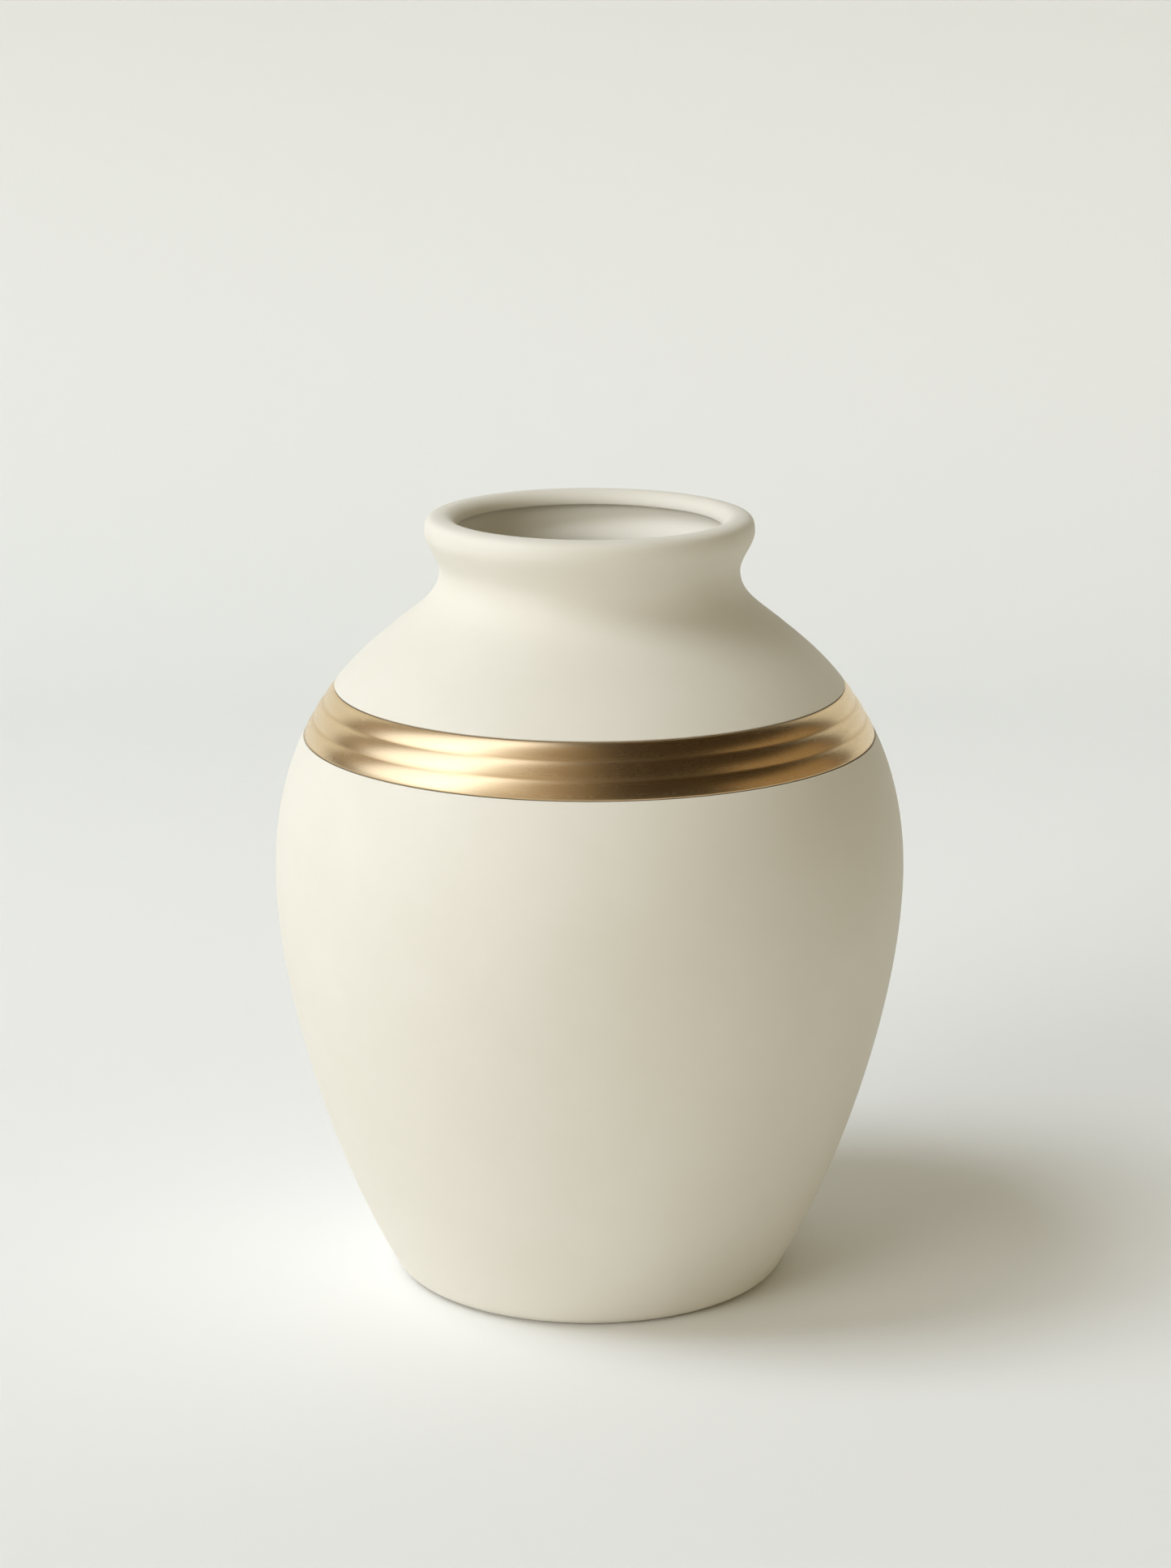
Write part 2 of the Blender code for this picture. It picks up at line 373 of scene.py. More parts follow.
def turnedOutlineGroup():
    # lays a grid over the outline's points and the turn, then closes seam, poles and ends by merging
    inputs = [
        ("Outline", "NodeSocketGeometry"),
        ("Turn Steps", "NodeSocketInt"),
        ("Start Angle", "NodeSocketFloat"),
        ("Swept Angle", "NodeSocketFloat"),
        ("Closed Outline", "NodeSocketInt"),
        ("Capped Ends", "NodeSocketInt"),
        ("Carried Attribute", "NodeSocketString"),
        ("Merge Distance", "NodeSocketFloat"),
    ]
    outputs = [("Geometry", "NodeSocketGeometry")]
    tree, given, result = newGroup("turnedOutline", "GeometryNodeTree", inputs, outputs)
    count = makeNode(
        tree, "GeometryNodeAttributeDomainSize", {"Geometry": given["Outline"]}, "Point Count",
        component="MESH",
    )
    rows = calc(tree, "ADD", count, given["Closed Outline"])
    lastColumn = calc(tree, "ADD", given["Turn Steps"], calc(tree, "MULTIPLY", given["Capped Ends"], 2.0))
    columns = calc(tree, "ADD", lastColumn, 1.0)
    grid = makeNode(tree, "GeometryNodeMeshGrid", {"Vertices X": rows, "Vertices Y": columns}, "Mesh")
    index = addNode(tree, "GeometryNodeInputIndex").outputs[0]
    row = calc(tree, "FLOOR", calc(tree, "DIVIDE", index, columns))
    column = calc(tree, "MODULO", index, columns)
    outlineIndex = calc(tree, "MODULO", row, count)
    position = addNode(tree, "GeometryNodeInputPosition").outputs[0]
    picked = makeNode(
        tree, "GeometryNodeSampleIndex",
        {"Geometry": given["Outline"], "Value": position, "Index": outlineIndex},
        "Value", data_type="FLOAT_VECTOR",
    )
    middle = makeNode(
        tree, "GeometryNodeAttributeStatistic",
        {"Geometry": given["Outline"], "Attribute": position},
        "Mean", data_type="FLOAT_VECTOR",
    )
    isFirst = calc(tree, "LESS_THAN", column, 0.5)
    isLast = calc(tree, "GREATER_THAN", column, calc(tree, "SUBTRACT", lastColumn, 0.5))
    isCap = calc(tree, "MULTIPLY", given["Capped Ends"], calc(tree, "MAXIMUM", isFirst, isLast))
    spot = makeNode(
        tree, "ShaderNodeMix", {"Factor": isCap, "A": picked, "B": middle}, "Result", data_type="VECTOR"
    )
    station = calc(tree, "SUBTRACT", column, given["Capped Ends"])
    station = calc(tree, "MINIMUM", calc(tree, "MAXIMUM", station, 0.0), given["Turn Steps"])
    swept = calc(tree, "MULTIPLY", given["Swept Angle"], calc(tree, "DIVIDE", station, given["Turn Steps"]))
    turned = makeNode(
        tree, "ShaderNodeVectorRotate",
        {"Vector": spot, "Angle": calc(tree, "ADD", given["Start Angle"], swept)},
        "Vector", rotation_type="Z_AXIS",
    )
    placed = makeNode(tree, "GeometryNodeSetPosition", {"Geometry": grid, "Position": turned}, "Geometry")
    stored = makeNode(
        tree, "GeometryNodeInputNamedAttribute", {"Name": given["Carried Attribute"]}, "Attribute",
        data_type="FLOAT",
    )
    sampled = makeNode(
        tree, "GeometryNodeSampleIndex",
        {"Geometry": given["Outline"], "Value": stored, "Index": outlineIndex},
        "Value", data_type="FLOAT",
    )
    carried = makeNode(
        tree, "GeometryNodeStoreNamedAttribute",
        {"Geometry": placed, "Name": given["Carried Attribute"], "Value": sampled},
        "Geometry", data_type="FLOAT", domain="POINT",
    )
    outwards = makeNode(tree, "GeometryNodeFlipFaces", {"Mesh": carried}, "Mesh")
    merged = makeNode(
        tree, "GeometryNodeMergeByDistance", {"Geometry": outwards, "Distance": given["Merge Distance"]},
        "Geometry",
    )
    tree.links.new(merged, result["Geometry"])
    return tree


def finishTree(tree, geometry, material, result):
    smooth = makeNode(
        tree, "GeometryNodeSetShadeSmooth", {"Geometry": geometry, "Shade Smooth": True}, "Geometry"
    )
    angle = addNode(tree, "GeometryNodeInputMeshEdgeAngle").outputs["Unsigned Angle"]
    creased = calc(tree, "GREATER_THAN", angle, creaseAngle)
    sharp = makeNode(
        tree, "GeometryNodeSetShadeSmooth",
        {"Geometry": smooth, "Selection": creased, "Shade Smooth": False},
        "Geometry", domain="EDGE",
    )
    real = makeNode(tree, "GeometryNodeRealizeInstances", {"Geometry": sharp}, "Geometry")
    finished = makeNode(
        tree, "GeometryNodeSetMaterial", {"Geometry": real, "Material": material}, "Geometry"
    )
    tree.links.new(finished, result["Geometry"])


def turnedBodyTree(turning):
    inputs = [
        ("Outline", "NodeSocketObject"),
        ("Turn Steps", "NodeSocketInt"),
        ("Merge Distance", "NodeSocketFloat"),
        ("Material", "NodeSocketMaterial"),
    ]
    outputs = [("Geometry", "NodeSocketGeometry")]
    tree, given, result = newGroup("turnedBody", "GeometryNodeTree", inputs, outputs)
    outline = makeNode(tree, "GeometryNodeObjectInfo", {"Object": given["Outline"]}, "Geometry")
    turned = makeNode(
        tree, "GeometryNodeGroup",
        {
            "Outline": outline, "Turn Steps": given["Turn Steps"], "Start Angle": backAngle,
            "Swept Angle": 2 * math.pi, "Closed Outline": 0, "Capped Ends": 0,
            "Merge Distance": given["Merge Distance"],
        },
        "Geometry", node_tree=turning,
    )
    finishTree(tree, turned, given["Material"], result)
    return tree


def reededBandTree(turning):
    inputs = [
        ("Strip", "NodeSocketObject"),
        ("Reed Count", "NodeSocketInt"),
        ("Reed Depth", "NodeSocketFloat"),
        ("Seam Angle", "NodeSocketFloat"),
        ("Turn Steps", "NodeSocketInt"),
        ("Merge Distance", "NodeSocketFloat"),
        ("Material", "NodeSocketMaterial"),
    ]
    outputs = [("Geometry", "NodeSocketGeometry")]
    tree, given, result = newGroup("reededBand", "GeometryNodeTree", inputs, outputs)
    strip = makeNode(tree, "GeometryNodeObjectInfo", {"Object": given["Strip"]}, "Geometry")
    across = makeNode(
        tree, "GeometryNodeInputNamedAttribute", {"Name": "across"}, "Attribute", data_type="FLOAT"
    )
    inward = makeNode(
        tree, "GeometryNodeInputNamedAttribute", {"Name": "inward"}, "Attribute", data_type="FLOAT_VECTOR"
    )
    # each reed bows like a parabola, 0 at its crest and 1 in the valleys beside it
    phase = calc(tree, "FRACT", calc(tree, "MULTIPLY", across, given["Reed Count"]))
    bow = calc(tree, "POWER", calc(tree, "ABSOLUTE", calc(tree, "MULTIPLY_ADD", phase, 2.0, -1.0)), 2.0)
    onFace = calc(tree, "GREATER_THAN", across, -0.5)
    valley = calc(tree, "MULTIPLY", bow, onFace)
    depth = calc(tree, "MULTIPLY", valley, given["Reed Depth"])
    offset = makeNode(
        tree, "ShaderNodeVectorMath", {0: inward, "Scale": depth}, "Vector", operation="SCALE"
    )
    marked = makeNode(
        tree, "GeometryNodeStoreNamedAttribute", {"Geometry": strip, "Name": "valley", "Value": valley},
        "Geometry", data_type="FLOAT", domain="POINT",
    )
    reeded = makeNode(tree, "GeometryNodeSetPosition", {"Geometry": marked, "Offset": offset}, "Geometry")
    halfSeam = calc(tree, "MULTIPLY", given["Seam Angle"], 0.5)
    turned = makeNode(
        tree, "GeometryNodeGroup",
        {
            "Outline": reeded, "Turn Steps": given["Turn Steps"],
            "Start Angle": calc(tree, "ADD", halfSeam, backAngle),
            "Swept Angle": calc(tree, "SUBTRACT", 2 * math.pi, given["Seam Angle"]),
            "Closed Outline": 1, "Capped Ends": 1, "Carried Attribute": "valley",
            "Merge Distance": given["Merge Distance"],
        },
        "Geometry", node_tree=turning,
    )
    finishTree(tree, turned, given["Material"], result)
    return tree


def outlineObject(name, points, numbers):
    # loose points in the XZ plane, with the numbers that the tree reads at each of them
    mesh = bpy.data.meshes.new(name)
    mesh.from_pydata([(point.x, 0, point.y) for point in points], [], [])
    for label, values in numbers.items():
        isVector = isinstance(values[0], Vector)
        layer = mesh.attributes.new(label, "FLOAT_VECTOR" if isVector else "FLOAT", "POINT")
        for item, value in zip(layer.data, values):
            if isVector:
                item.vector = value
            else:
                item.value = value
    holder = bpy.data.objects.new(name, mesh)
    bpy.context.scene.collection.objects.link(holder)
    return holder


def bakeTree(tree, name, values):
    # runs the tree on an empty mesh and keeps the result as a plain mesh
    maker = bpy.data.objects.new(name + "Maker", bpy.data.meshes.new(name + "Maker"))
    bpy.context.scene.collection.objects.link(maker)
    modifier = maker.modifiers.new(tree.name, "NODES")
    modifier.node_group = tree
    for item in tree.interface.items_tree:
        if item.item_type == "SOCKET" and item.in_out == "INPUT":
            modifier[item.identifier] = values[item.name]
    graph = bpy.context.evaluated_depsgraph_get()
    mesh = bpy.data.meshes.new_from_object(
        maker.evaluated_get(graph), preserve_all_data_layers=True, depsgraph=graph
    )
    maker.modifiers.clear()
    bpy.data.objects.remove(maker)
    mesh.name = name
    mesh.materials.clear()
    mesh.materials.append(values["Material"])
    piece = bpy.data.objects.new(name, mesh)
    bpy.context.scene.collection.objects.link(piece)
    for helper in values.values():
        if isinstance(helper, bpy.types.Object):
            bpy.data.objects.remove(helper)
    return piece


# shader groups that the finishes share

def fineGrainGroup():
    # close-set grain over soft clouds, both as heights about zero
    inputs = [(label, "NodeSocketFloat") for label in ("Grain Size", "Cloud Size", "Seed")]
    outputs = [(label, "NodeSocketFloat") for label in ("Grain", "Clouds")]
    tree, given, result = newGroup("fineGrain", "ShaderNodeTree", inputs, outputs)
    place = addNode(tree, "ShaderNodeTexCoord").outputs["Object"]
    for label, size, detail in (("Grain", "Grain Size", 2.0), ("Clouds", "Cloud Size", 3.0)):
        scale = calc(tree, "DIVIDE", 1.0, given[size])
        noise = makeNode(
            tree, "ShaderNodeTexNoise",
            {"Vector": place, "W": given["Seed"], "Scale": scale, "Detail": detail, "Roughness": 0.55},
            0, noise_dimensions="4D",
        )
        tree.links.new(calc(tree, "SUBTRACT", noise, 0.5), result[label])
    return tree


def turningLinesGroup():
    # long streaks that run round the axis, close together in height
    inputs = [(label, "NodeSocketFloat") for label in ("Line Spacing", "Line Length", "Seed")]
    outputs = [("Lines", "NodeSocketFloat")]
    tree, given, result = newGroup("turningLines", "ShaderNodeTree", inputs, outputs)
    place = addNode(tree, "ShaderNodeTexCoord").outputs["Object"]
    split = addNode(tree, "ShaderNodeSeparateXYZ")
    tree.links.new(place, split.inputs[0])
    vector = makeNode(
        tree, "ShaderNodeCombineXYZ",
        {
            "X": calc(tree, "DIVIDE", split.outputs["X"], given["Line Length"]),
            "Y": calc(tree, "DIVIDE", split.outputs["Y"], given["Line Length"]),
            "Z": calc(tree, "DIVIDE", split.outputs["Z"], given["Line Spacing"]),
        },
    )
    noise = makeNode(
        tree, "ShaderNodeTexNoise",
        {"Vector": vector, "W": given["Seed"], "Scale": 1.0, "Detail": 2.0, "Roughness": 0.6},
        0, noise_dimensions="4D",
    )
    tree.links.new(calc(tree, "SUBTRACT", noise, 0.5), result["Lines"])
    return tree


def newMaterial(name, finish):
    material = bpy.data.materials.new(name)
    material.use_nodes = True
    tree = material.node_tree
    shader = tree.nodes["Principled BSDF"]
    for label, value in finish.items():
        shader.inputs[label].default_value = value
    return material, tree, shader


def useGroup(tree, group, **values):
    node = addNode(tree, "ShaderNodeGroup", node_tree=group)
    for name, value in values.items():
        setInput(tree, node, name.replace("_", " "), value)
    return node.outputs


def tinted(tree, base, other, share):
    return makeNode(
        tree, "ShaderNodeMix", {"Factor": share, "A": base, "B": other}, "Result", data_type="RGBA"
    )


def bumped(tree, height, distance):
    return makeNode(
        tree, "ShaderNodeBump", {"Height": height, "Distance": distance, "Strength": 1.0}, "Normal"
    )


# finishes

porcelainLook = {
    "colour": (0.76, 0.725, 0.65, 1),
    "cloudColour": (0.735, 0.70, 0.615, 1),
    "bareColour": (0.66, 0.61, 0.52, 1),
    "scuffColour": (0.36, 0.34, 0.31, 1),
    "roughness": 0.56,
    "cloudRoughness": 0.16,
    "bareRoughness": 0.82,
    "shine": 0.3,
    "grainSize": 0.00045,
    "cloudSize": 0.030,
    "grainSeed": 1.7,
    "cloudShare": (2.2, 0.5),  # how strongly the clouds show, and their share at the mean
    "speckle": 0.25,
    "lineSpacing": 0.0016,
    "lineLength": 0.09,
    "lineSeed": 4.2,
    "lineShare": 0.6,  # of the grain's height
    "grainHeight": 0.000030,
    "bareGrain": 1.6,  # how much coarser the bare clay is than the glaze
    "bareBelow": 0.0010,  # height of the glaze line on the foot ring
    "bareFade": 0.6,
    "glazeWander": 0.0012,  # how far the glaze line strays up and down
    "scuffScale": 260.0,
    "scuffShare": (3.0, -1.65),
}


def porcelainMaterial(fineGrain, turningLines):
    look = porcelainLook
    material, tree, shader = newMaterial(
        "mattePorcelain", {"Roughness": look["roughness"], "Specular IOR Level": look["shine"]}
    )
    grain = useGroup(
        tree, fineGrain, Grain_Size=look["grainSize"], Cloud_Size=look["cloudSize"], Seed=look["grainSeed"]
    )
    lines = useGroup(
        tree, turningLines,
        Line_Spacing=look["lineSpacing"], Line_Length=look["lineLength"], Seed=look["lineSeed"],
    )
    place = addNode(tree, "ShaderNodeTexCoord").outputs["Object"]
    split = addNode(tree, "ShaderNodeSeparateXYZ")
    tree.links.new(place, split.inputs[0])
    wavyHeight = calc(tree, "MULTIPLY_ADD", grain["Clouds"], look["glazeWander"], split.outputs["Z"])
    bare = makeNode(
        tree, "ShaderNodeMapRange",
        {
            "Value": wavyHeight,
            "From Min": look["bareBelow"], "From Max": look["bareBelow"] * look["bareFade"],
            "To Min": 0.0, "To Max": 1.0,
        },
        "Result", interpolation_type="SMOOTHSTEP",
    )
    scuffNoise = makeNode(
        tree, "ShaderNodeTexNoise",
        {"Vector": place, "Scale": look["scuffScale"], "Detail": 4.0, "Roughness": 0.7}, 0,
    )
    scuffs = calc(tree, "MULTIPLY_ADD", scuffNoise, *look["scuffShare"], clamp=True)
    scuffs = calc(tree, "MULTIPLY", bare, scuffs)
    cloudShare = calc(tree, "MULTIPLY_ADD", grain["Clouds"], *look["cloudShare"], clamp=True)
    colour = tinted(tree, look["colour"], look["cloudColour"], cloudShare)
    speckle = calc(tree, "MULTIPLY_ADD", grain["Grain"], look["speckle"], 0.0, clamp=True)
    colour = tinted(tree, colour, look["bareColour"], speckle)
    colour = tinted(tree, colour, look["bareColour"], bare)
    colour = tinted(tree, colour, look["scuffColour"], scuffs)
    tree.links.new(colour, shader.inputs["Base Color"])
    rough = calc(tree, "MULTIPLY_ADD", grain["Clouds"], look["cloudRoughness"], look["roughness"])
    rough = calc(tree, "MULTIPLY_ADD", bare, look["bareRoughness"] - look["roughness"], rough)
    tree.links.new(rough, shader.inputs["Roughness"])
    height = calc(tree, "ADD", grain["Grain"], calc(tree, "MULTIPLY", lines["Lines"], look["lineShare"]))
    height = calc(tree, "MULTIPLY", height, calc(tree, "MULTIPLY_ADD", bare, look["bareGrain"], 1.0))
    tree.links.new(bumped(tree, height, look["grainHeight"]), shader.inputs["Normal"])
    return material


goldLook = {
    "colour": (0.87, 0.67, 0.41, 1),
    # painted shade: the gold is darkened in the valleys between the reeds
    "valleyShadeColour": (0.72, 0.50, 0.25, 1),
    "lineColour": (0.91, 0.72, 0.45, 1),
    "lineShare": (0.4, 0.35),  # how strongly the lines show, and their share at the mean
    "valleyShadeShare": 0.55,
    "valleyPower": 3.0,  # keeps the painted shade and the rougher finish close to the valleys
    "roughness": 0.27,
    "lineRoughness": 0.015,
    "cloudRoughness": 0.02,
    "valleyRoughness": 0.08,
    "lineSpacing": 0.00016,
    "lineLength": 0.030,
    "lineHeight": 0.0000006,
    "lineSeed": 2.9,
    "grainSize": 0.0004,
    "cloudSize": 0.008,
    "grainSeed": 8.1,
    "grainShare": 0.05,  # of the lines' height
}


def goldMaterial(fineGrain, turningLines):
    look = goldLook
    material, tree, shader = newMaterial("satinGold", {"Metallic": 1.0, "Roughness": look["roughness"]})
    grain = useGroup(
        tree, fineGrain, Grain_Size=look["grainSize"], Cloud_Size=look["cloudSize"], Seed=look["grainSeed"]
    )
    lines = useGroup(
        tree, turningLines,
        Line_Spacing=look["lineSpacing"], Line_Length=look["lineLength"], Seed=look["lineSeed"],
    )
    valley = makeNode(tree, "ShaderNodeAttribute", {}, "Fac", attribute_name="valley")
    deep = calc(tree, "POWER", valley, look["valleyPower"])
    lineShare = calc(tree, "MULTIPLY_ADD", lines["Lines"], *look["lineShare"], clamp=True)
    colour = tinted(tree, look["colour"], look["lineColour"], lineShare)
    # painted shade darkens the gold towards the valleys between the reeds
    colour = tinted(tree, colour, look["valleyShadeColour"], calc(tree, "MULTIPLY", deep, look["valleyShadeShare"]))
    tree.links.new(colour, shader.inputs["Base Color"])
    rough = calc(tree, "MULTIPLY_ADD", lines["Lines"], look["lineRoughness"], look["roughness"])
    rough = calc(tree, "MULTIPLY_ADD", grain["Clouds"], look["cloudRoughness"], rough)
    rough = calc(tree, "MULTIPLY_ADD", deep, look["valleyRoughness"], rough)
    tree.links.new(rough, shader.inputs["Roughness"])
    height = calc(tree, "MULTIPLY_ADD", grain["Grain"], look["grainShare"], lines["Lines"])
    tree.links.new(bumped(tree, height, look["lineHeight"]), shader.inputs["Normal"])
    return material


bondLook = {
    "colour": (0.42, 0.33, 0.20, 1),
    "paleColour": (0.55, 0.46, 0.31, 1),
    "cloudShare": (2.0, 0.4),
    "roughness": 0.42,
    "cloudRoughness": 0.3,
    "grainSize": 0.0005,
    "cloudSize": 0.006,
    "grainSeed": 5.5,
    "grainShare": 0.3,  # of the bubbles' height
    "bubbleSize": 0.0012,
    "bubbleReach": 0.35,  # of a bubble's size
    "bubbleHeight": 0.00008,
}


def bondMaterial(fineGrain):
    look = bondLook
    material, tree, shader = newMaterial("amberBond", {"Roughness": look["roughness"]})
    grain = useGroup(
        tree, fineGrain, Grain_Size=look["grainSize"], Cloud_Size=look["cloudSize"], Seed=look["grainSeed"]
    )
    place = addNode(tree, "ShaderNodeTexCoord").outputs["Object"]
    fromBubble = makeNode(
        tree, "ShaderNodeTexVoronoi", {"Vector": place, "Scale": 1 / look["bubbleSize"]}, "Distance"
    )
    bubbles = calc(tree, "SUBTRACT", look["bubbleReach"], fromBubble, clamp=True)
    share = calc(tree, "MULTIPLY_ADD", grain["Clouds"], *look["cloudShare"], clamp=True)
    tree.links.new(tinted(tree, look["colour"], look["paleColour"], share), shader.inputs["Base Color"])
    rough = calc(tree, "MULTIPLY_ADD", grain["Clouds"], look["cloudRoughness"], look["roughness"])
    tree.links.new(rough, shader.inputs["Roughness"])
    height = calc(tree, "ADD", bubbles, calc(tree, "MULTIPLY", grain["Grain"], look["grainShare"]))
    tree.links.new(bumped(tree, height, look["bubbleHeight"]), shader.inputs["Normal"])
    return material


paperLook = {
    "colour": (0.91, 0.91, 0.90, 1),
    "farShadeColour": (0.785, 0.79, 0.775, 1),  # painted shade: greyer behind the vase and up the wall
    "shadeFrom": 0.3,
    "shadeTo": 1.2,
    "roughness": 0.9,
    "shine": 0.2,
    "grainSize": 0.0012,
    "cloudSize": 0.05,
    "grainSeed": 3.3,
    "grainHeight": 0.00002,
}


def paperMaterial(fineGrain):
    look = paperLook
    material, tree, shader = newMaterial(
        "backdropPaper", {"Roughness": look["roughness"], "Specular IOR Level": look["shine"]}
    )
    grain = useGroup(
        tree, fineGrain, Grain_Size=look["grainSize"], Cloud_Size=look["cloudSize"], Seed=look["grainSeed"]
    )
    split = addNode(tree, "ShaderNodeSeparateXYZ")
    tree.links.new(addNode(tree, "ShaderNodeTexCoord").outputs["Object"], split.inputs[0])
    # painted shade: the paper greys from the front towards the wall and up it
    far = makeNode(
        tree, "ShaderNodeMapRange",
        {"Value": split.outputs["Y"], "From Min": look["shadeFrom"], "From Max": look["shadeTo"]},
        "Result", interpolation_type="SMOOTHSTEP",
    )
    tree.links.new(tinted(tree, look["colour"], look["farShadeColour"], far), shader.inputs["Base Color"])
    tree.links.new(bumped(tree, grain["Grain"], look["grainHeight"]), shader.inputs["Normal"])
    return material


# the pieces

fineGrain = fineGrainGroup()
turningLines = turningLinesGroup()
turning = turnedOutlineGroup()

bodyPoints = bodyOutline()
vaseBody = bakeTree(turnedBodyTree(turning), "vaseBody", {
    "Outline": outlineObject("bodyOutline", bodyPoints, {}),
    "Turn Steps": turnSteps,
    "Merge Distance": sameSpot,
    "Material": porcelainMaterial(fineGrain, turningLines),
})
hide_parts("porcelain_body")
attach(vaseBody, rootBody)
print("vase body:", len(bodyPoints), "outline points,", len(vaseBody.data.polygons), "faces")

stripPoints, stripAcross = bandStrip()
stripWay = (wallLine.at(rebateTop) - wallLine.at(rebateBottom)).normalized()
bandMiddle = wallLine.at((rebateTop + rebateBottom) / 2)
goldBand = bakeTree(reededBandTree(turning), "goldBand", {
    "Strip": outlineObject("bandStrip", stripPoints, {
        "across": stripAcross,
        "inward": [Vector((-stripWay.y, 0, stripWay.x))] * len(stripPoints),
    }),
    "Reed Count": bandShape["reedCount"],
    "Reed Depth": bandShape["reedDepth"],
    "Seam Angle": bandShape["seamGap"] / bandMiddle.x,
    "Turn Steps": turnSteps,
    "Merge Distance": sameSpot,
    "Material": goldMaterial(fineGrain, turningLines),
})
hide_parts("gold_band")
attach(goldBand, rootBody)
print("gold band:", len(stripPoints), "section points,", len(goldBand.data.polygons), "faces")

bond = frame["nodes"]["band_bond"]
bond.data.materials.clear()
bond.data.materials.append(bondMaterial(fineGrain))
print("bond finished")


# studio

studio = {
    "floorHalfWidth": 9.0,
    "wallHalfWidth": 2.0,
    "frontEdge": -9.0,
    "floorStep": 0.0005,
    "bendStart": 0.9,
    "bendRadius": 0.5,
    "wallTop": 2.2,
    "bendSteps": 24,
}


def backdropSweep():
    floorHalf = studio["floorHalfWidth"]
    wallHalf = studio["wallHalfWidth"]
    line = [(studio["frontEdge"], 0.0, floorHalf), (studio["bendStart"], 0.0, floorHalf)]
    for i in range(1, studio["bendSteps"] + 1):
        turn = math.pi / 2 * i / studio["bendSteps"]
        line.append((
            studio["bendStart"] + studio["bendRadius"] * math.sin(turn),
            studio["bendRadius"] * (1 - math.cos(turn)),
            wallHalf,
        ))
    line.append((studio["bendStart"] + studio["bendRadius"], studio["wallTop"], wallHalf))
    verts = [(side * half, y, z) for y, z, half in line for side in (-1, 1)]
    faces = [(2 * i, 2 * i + 1, 2 * i + 3, 2 * i + 2) for i in range(len(line) - 1)]
    # the floor goes on beside and behind the wall, a hair lower than the sweep
    rest = len(verts)
    for y in (studio["bendStart"], floorHalf):
        verts += [(-floorHalf, y, -studio["floorStep"]), (floorHalf, y, -studio["floorStep"])]
    faces.append((rest, rest + 1, rest + 3, rest + 2))
    mesh = bpy.data.meshes.new("backdropSweep")
    mesh.from_pydata(verts, [], faces)
    mesh.shade_smooth()
    mesh.materials.append(paperMaterial(fineGrain))
    sweep = bpy.data.objects.new("backdropSweep", mesh)
    bpy.context.scene.collection.objects.link(sweep)
    return sweep


keySoftbox = {
    "azimuth": 79,  # degrees from the front towards the left of the vase
    "elevation": 56,
    "distance": 8.0,
    "width": 3.2,
    "height": 4.3,
    "power": 335,
    "colour": (0.80, 0.87, 0.975),
}


def addSoftbox(name, box):
    turn = math.radians(box["azimuth"])
    rise = math.radians(box["elevation"])
    way = Vector((-math.sin(turn) * math.cos(rise), -math.cos(turn) * math.cos(rise), math.sin(rise)))
    light = bpy.data.lights.new(name, "AREA")
    light.shape = "RECTANGLE"
    light.size = box["width"]
    light.size_y = box["height"]
    light.energy = box["power"]
    light.color = box["colour"]
    lamp = bpy.data.objects.new(name, light)
    lamp.location = Vector((0, 0, shape["height"] / 2)) + way * box["distance"]
    lamp.rotation_euler = way.to_track_quat("Z", "Y").to_euler()
    lamp.visible_glossy = False  # what shines in the metal comes from the room's patches
    bpy.context.scene.collection.objects.link(lamp)


room = {
    "fill": (0.385, 0.330, 0.190, 1),  # what matte surfaces gather from the warm walls
    "darkCorner": (0.020, 0.016, 0.009, 1),  # the same, towards the unlit ceiling on the right
    "dark": (0.033, 0.020, 0.008, 1),  # what the metal sees of the same walls
    "seen": (0.76, 0.76, 0.73, 1),
    "window": (0.60, 0.74, 0.90, 1),
    "windowHeight": 0.37,  # sine of the elevation of its middle
    "windowReach": 0.34,
}
# soft patches of light: inner and outer are half widths in degrees, low and high are pairs of sines of
# elevation between which a patch fades in and out
mattePatches = [
    {
        "azimuth": 47, "inner": 8, "outer": 20,
        "low": (0.10, 0.24), "high": (0.41, 0.53), "colour": (7.4, 7.4, 7.5, 1),
    },
    {
        "azimuth": -60, "inner": 14, "outer": 34,
        "low": (-0.05, 0.02), "high": (0.10, 0.25), "colour": (0.9, 0.80, 0.56, 1),
    },
]
polishedPatches = [
    {
        "azimuth": 76, "inner": 20, "outer": 32,
        "low": (-0.05, 0.25), "high": (0.96, 0.998), "colour": (1.1, 1.27, 1.55, 1),
    },
    {
        "azimuth": 56, "inner": 12, "outer": 31,
        "low": (-0.05, 0.25), "high": (0.96, 0.998), "colour": (0.32, 0.33, 0.36, 1),
    },
    {
        "azimuth": 66, "inner": 36, "outer": 84,
        "low": (-0.10, 0.30), "high": (0.96, 0.998), "colour": (0.27, 0.20, 0.11, 1),
    },
    {
        "azimuth": -88, "inner": 20, "outer": 36,
        "low": (-0.30, -0.10), "high": (0.34, 0.64), "colour": (0.26, 0.18, 0.09, 1),
    },
]


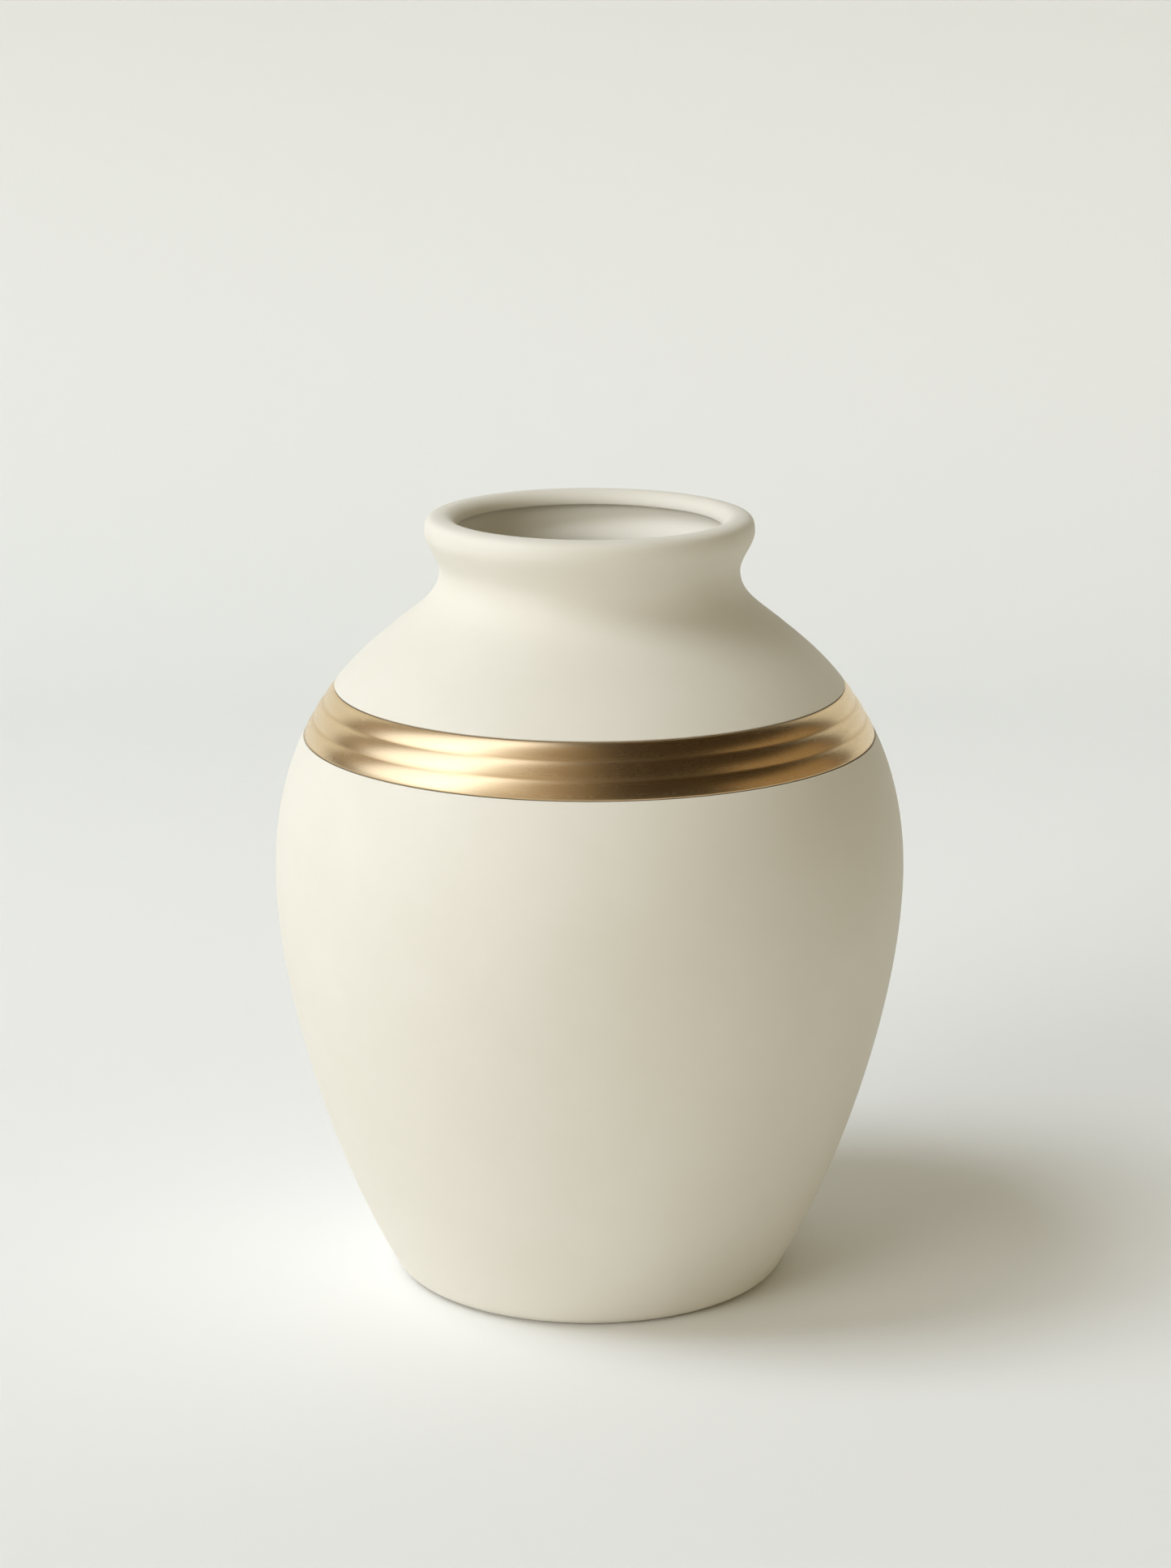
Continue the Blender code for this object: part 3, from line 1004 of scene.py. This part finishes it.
def studioWorld():
    world = bpy.data.worlds.new("studioRoom")
    bpy.context.scene.world = world
    world.use_nodes = True
    tree = world.node_tree
    way = addNode(tree, "ShaderNodeSeparateXYZ")
    tree.links.new(addNode(tree, "ShaderNodeTexCoord").outputs["Generated"], way.inputs[0])
    east, north, height = way.outputs
    path = addNode(tree, "ShaderNodeLightPath").outputs
    flatLength = calc(tree, "SQRT", calc(tree, "SUBTRACT", 1.0, calc(tree, "MULTIPLY", height, height)))

    def fade(value, start, end):
        return makeNode(
            tree, "ShaderNodeMapRange", {"Value": value, "From Min": start, "From Max": end}, "Result",
            interpolation_type="SMOOTHSTEP",
        )

    def patchShare(patch):
        turn = math.radians(patch["azimuth"])
        facing = calc(tree, "MULTIPLY", north, -math.cos(turn))
        facing = calc(tree, "MULTIPLY_ADD", east, -math.sin(turn), facing)
        facing = calc(tree, "DIVIDE", facing, flatLength)
        outer = math.cos(math.radians(patch["outer"]))
        inner = math.cos(math.radians(patch["inner"]))
        sideways = fade(facing, outer, inner)
        above = fade(height, *patch["low"])
        below = calc(tree, "SUBTRACT", 1.0, fade(height, *patch["high"]))
        return calc(tree, "MULTIPLY", sideways, calc(tree, "MULTIPLY", above, below))

    def added(colour, other, share):
        return makeNode(
            tree, "ShaderNodeMix", {"Factor": share, "A": colour, "B": other}, "Result",
            data_type="RGBA", blend_type="ADD",
        )

    offWindow = calc(tree, "ABSOLUTE", calc(tree, "SUBTRACT", height, room["windowHeight"]))
    offWindow = calc(tree, "DIVIDE", offWindow, room["windowReach"])
    windowBand = calc(tree, "SUBTRACT", 1.0, offWindow, clamp=True)
    onLeft = calc(tree, "MULTIPLY", east, -1.0, clamp=True)
    onRight = calc(tree, "MULTIPLY_ADD", east, 0.5, 0.5)  # 0 at the far left, 1 at the far right
    cornerShare = calc(tree, "MULTIPLY", height, onRight, clamp=True)
    walls = tinted(tree, room["fill"], room["darkCorner"], cornerShare)
    matte = added(walls, room["window"], calc(tree, "MULTIPLY", windowBand, onLeft))
    for patch in mattePatches:
        matte = added(matte, patch["colour"], patchShare(patch))
    polished = room["dark"]
    for patch in polishedPatches:
        polished = added(polished, patch["colour"], patchShare(patch))
    colour = tinted(tree, matte, polished, path["Is Glossy Ray"])
    colour = tinted(tree, colour, room["seen"], path["Is Camera Ray"])
    tree.links.new(colour, tree.nodes["Background"].inputs["Color"])


cameraView = {
    "lens": 83.62,
    "sensorWidth": 36,
    "clipStart": 0.01,
    "place": (-0.00145, -1.27567, 0.50452),
    "tilt": 14.231,  # degrees below level
    "exposure": 0.05,
}


def placeCamera():
    camera = bpy.data.cameras.new("studioCamera")
    camera.lens = cameraView["lens"]
    camera.sensor_width = cameraView["sensorWidth"]
    camera.clip_start = cameraView["clipStart"]
    holder = bpy.data.objects.new("studioCamera", camera)
    holder.location = cameraView["place"]
    holder.rotation_euler = (math.radians(90 - cameraView["tilt"]), 0, 0)
    bpy.context.scene.collection.objects.link(holder)
    bpy.context.scene.camera = holder


backdropSweep()
addSoftbox("keySoftbox", keySoftbox)
studioWorld()
placeCamera()
bpy.context.scene.view_settings.view_transform = "Standard"
bpy.context.scene.view_settings.exposure = cameraView["exposure"]
print("studio ready")
